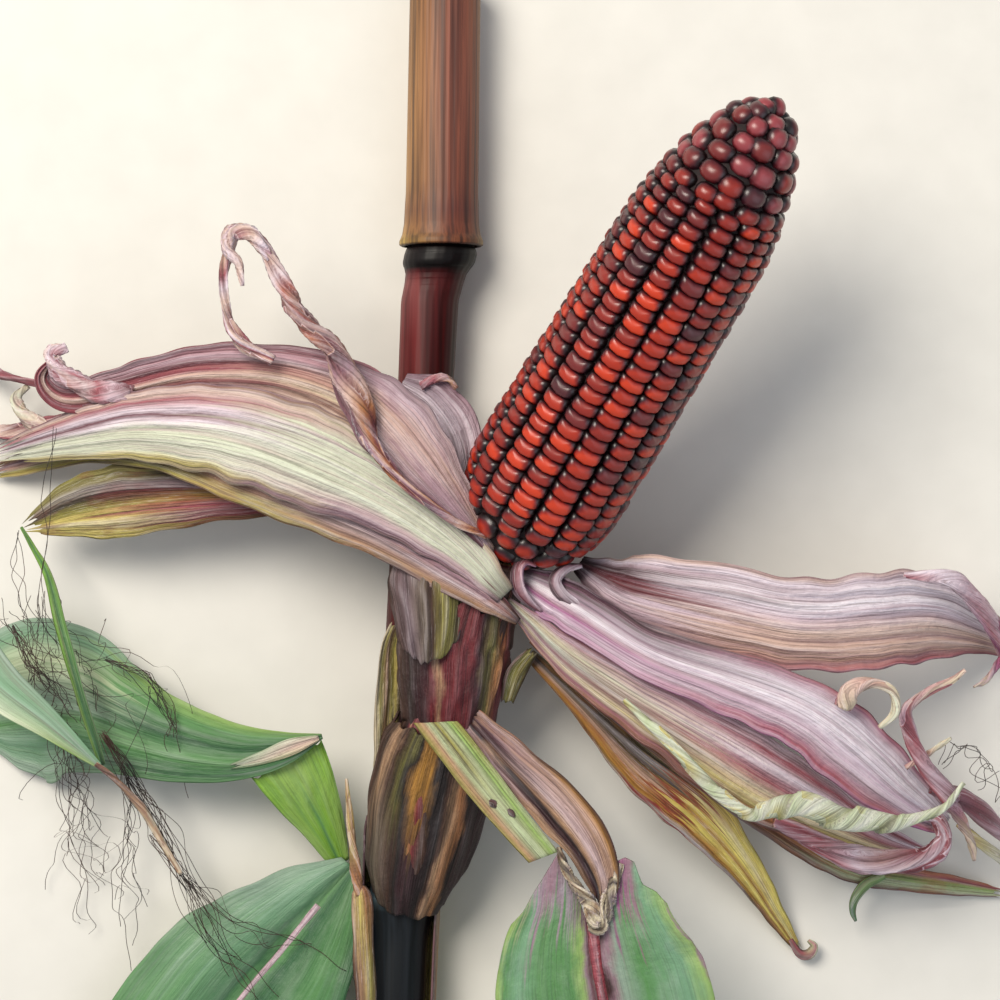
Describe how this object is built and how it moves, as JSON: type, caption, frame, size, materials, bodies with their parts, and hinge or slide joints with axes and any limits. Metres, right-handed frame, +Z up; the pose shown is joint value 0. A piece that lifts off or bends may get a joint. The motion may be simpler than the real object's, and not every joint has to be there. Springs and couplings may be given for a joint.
{
  "type": "cut maize stalk with ear",
  "caption": "Length of maize stalk cut with its ripe dark red ear bared, dry husks folded back to both sides and green leaves, lying on its back.",
  "frame": {"origin": "on the surface that the cut plant lies on, under the middle of its box", "axes": "+Y along the stalk towards the top of the plant, +X towards the side that the ear leans to, +Z up from the surface, out of the side that the ear grew on"},
  "size_m": [0.3363, 0.4889, 0.0991],
  "materials": {
    "stalk_skin": "satin, dark maroon, dry",
    "tan_sheath": "matt, fine ribs along it",
    "brown_sheath": "matt, veined",
    "kernel": "glossy",
    "mauve_husk": "matt, papery, ribbed",
    "pale_husk": "matt, papery, ribbed",
    "yellow_husk": "matt, papery",
    "green_leaf": "satin, waxy"
  },
  "bodies": {
    "root": {"stalk": "stalk_skin", "upper_sheath": "tan_sheath", "ear_shank": "brown_sheath", "shank_wrap": "brown_sheath", "leaf_sheath": "brown_sheath", "husk_turned_down": "brown_sheath", "ear": "kernel", "leaf_strip_mauve": "mauve_husk", "husk_left_rope": "mauve_husk", "husk_left_fold": "mauve_husk", "husk_left_brown": "mauve_husk", "husk_left_upper": "mauve_husk", "husk_left_tail": "mauve_husk", "husk_right_fold": "mauve_husk", "husk_right_upper": "mauve_husk", "husk_right_strand": "mauve_husk", "husk_right_middle": "mauve_husk", "husk_right_curl": "mauve_husk", "husk_right_tip": "mauve_husk", "leaf_collar": "pale_husk", "husk_left_main": "pale_husk", "husk_left_back": "pale_husk", "husk_right_spiral": "pale_husk", "husk_right_loop": "pale_husk", "husk_right_cream": "pale_husk", "husk_right_lower": "pale_husk", "lower_sheath": "yellow_husk", "husk_left_under": "yellow_husk", "husk_right_hooked": "yellow_husk", "husk_right_pointed": "yellow_husk", "bract_dry_left": "yellow_husk", "bract_dry_right": "yellow_husk", "leaf_strip_green": "green_leaf", "ear_leaf_blade": "green_leaf", "husk_left_flag": "green_leaf", "lower_leaf_blade": "green_leaf", "arched_leaf_rise": "green_leaf", "arched_leaf_fall": "green_leaf"}
  },
  "joints": []
}
